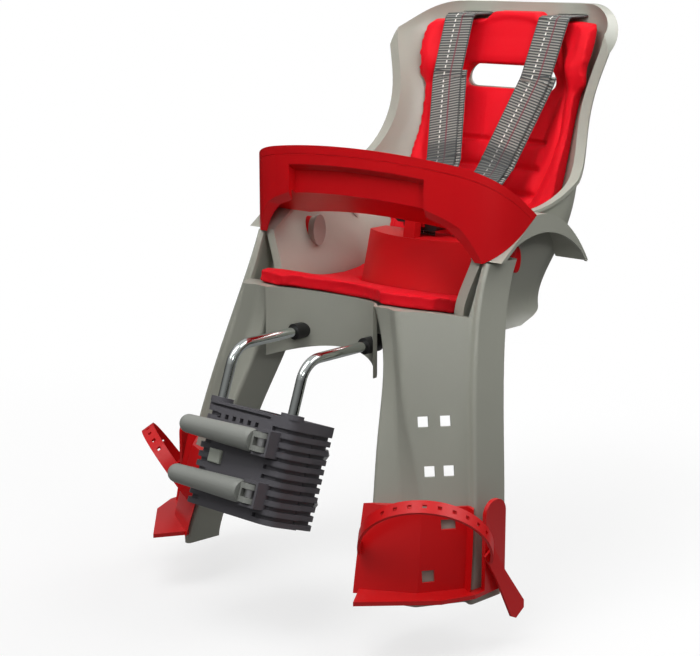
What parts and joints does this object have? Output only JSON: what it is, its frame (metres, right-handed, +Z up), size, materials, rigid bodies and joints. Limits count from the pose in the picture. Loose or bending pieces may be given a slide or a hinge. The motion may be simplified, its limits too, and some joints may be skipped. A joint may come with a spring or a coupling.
{
  "type": "front-mounted child bicycle seat",
  "caption": "Bucket seat with leg guards, padded liner, harness and front bar on a chrome rod that plugs into a quick-release head-tube clamp.",
  "frame": {"origin": "middle of the head-tube clamp, on the tube's axis", "axes": "+Z up, the child faces -Y, the child's left is +X; the clamp leans 20 degrees back with the tube"},
  "size_m": [0.4428, 0.488, 0.5546],
  "materials": {
    "shell_grey": "fine matte moulded plastic",
    "cushion_red": "smooth padded cloth",
    "guard_red": "satin moulded plastic",
    "bar_red": "satin moulded plastic",
    "footrest_red": "glossy moulded plastic",
    "foot_strap_red": "flexible moulded plastic",
    "rod_chrome": "bright chrome plate",
    "bright_steel": "zinc plated steel",
    "webbing_grey": "ribbed woven webbing",
    "black_plastic": "black moulded plastic",
    "bracket_grey": "dark grey glass-filled plastic",
    "liner_rubber": "soft rubber",
    "lever_grey": "satin grey plastic",
    "button_pale": "pale grey plastic"
  },
  "bodies": {
    "bracket": {"front_jaw": "bracket_grey", "rear_jaw": "bracket_grey", "clamp_liner_front": "liner_rubber", "clamp_liner_rear": "liner_rubber", "lever_pin_upper": "bright_steel", "lever_pin_lower": "bright_steel", "tie_bolt_upper": "bright_steel", "tie_bolt_lower": "bright_steel", "tie_nuts": "bright_steel", "hinge_screws": "bright_steel"},
    "seat": {"seat_shell": "shell_grey", "seat_cushion": "cushion_red", "crotch_guard": "guard_red", "support_rod": "rod_chrome", "rod_saddle_front": "black_plastic", "rod_saddle_rear": "black_plastic", "rod_screws": "bright_steel", "rod_bush_left": "black_plastic", "rod_bush_right": "black_plastic", "shoulder_strap_left": "webbing_grey", "shoulder_strap_right": "webbing_grey", "strap_anchor": "bright_steel", "crotch_strap": "webbing_grey", "buckle_body": "black_plastic", "buckle_tongue_left": "black_plastic", "buckle_tongue_right": "black_plastic", "footrest_left": "footrest_red", "footrest_right": "footrest_red", "foot_strap_left": "foot_strap_red", "foot_strap_right": "foot_strap_red"},
    "safety_bar": {"safety_bar_body": "bar_red", "safety_bar_cover": "bar_red"},
    "bar_button_left": {"bar_button_left": "guard_red"},
    "bar_button_right": {"bar_button_right": "guard_red"},
    "buckle_button": {"buckle_button": "guard_red"},
    "lever_upper": {"lever_upper": "lever_grey"},
    "lever_lower": {"lever_lower": "lever_grey"},
    "release_button": {"release_button": "button_pale", "latch_bar": "bright_steel"}
  },
  "joints": [
    {"name": "seat_lift", "type": "slide", "parent": "bracket", "child": "seat", "axis": [0, 0.342, 0.9397], "range_m": [0, 0.06]},
    {"name": "bar_pull", "type": "slide", "parent": "seat", "child": "safety_bar", "axis": [0, -0.5784, 0.8157], "range_m": [0, 0.06]},
    {"name": "bar_button_left_press", "type": "slide", "parent": "seat", "child": "bar_button_left", "axis": [-1, 0, 0], "range_m": [0, 0.004], "stiffness_N_per_m": 1500, "springref_m": -0.002},
    {"name": "bar_button_right_press", "type": "slide", "parent": "seat", "child": "bar_button_right", "axis": [1, 0, 0], "range_m": [0, 0.004], "stiffness_N_per_m": 1500, "springref_m": -0.002},
    {"name": "buckle_button_press", "type": "slide", "parent": "seat", "child": "buckle_button", "axis": [0, 1, 0], "range_m": [0, 0.0025], "stiffness_N_per_m": 2000, "springref_m": -0.002},
    {"name": "lever_upper_turn", "type": "hinge", "parent": "bracket", "child": "lever_upper", "pos_m": [0.036, -0.04094, 0.03512], "axis": [0, 0.342, 0.9397], "range_deg": [0, 90]},
    {"name": "lever_lower_turn", "type": "hinge", "parent": "bracket", "child": "lever_lower", "pos_m": [0.036, -0.05735, -0.00999], "axis": [0, 0.342, 0.9397], "range_deg": [0, 90]},
    {"name": "release_press", "type": "slide", "parent": "bracket", "child": "release_button", "axis": [0, 0.9397, -0.342], "range_m": [0, 0.003], "stiffness_N_per_m": 2000, "springref_m": -0.002}
  ]
}
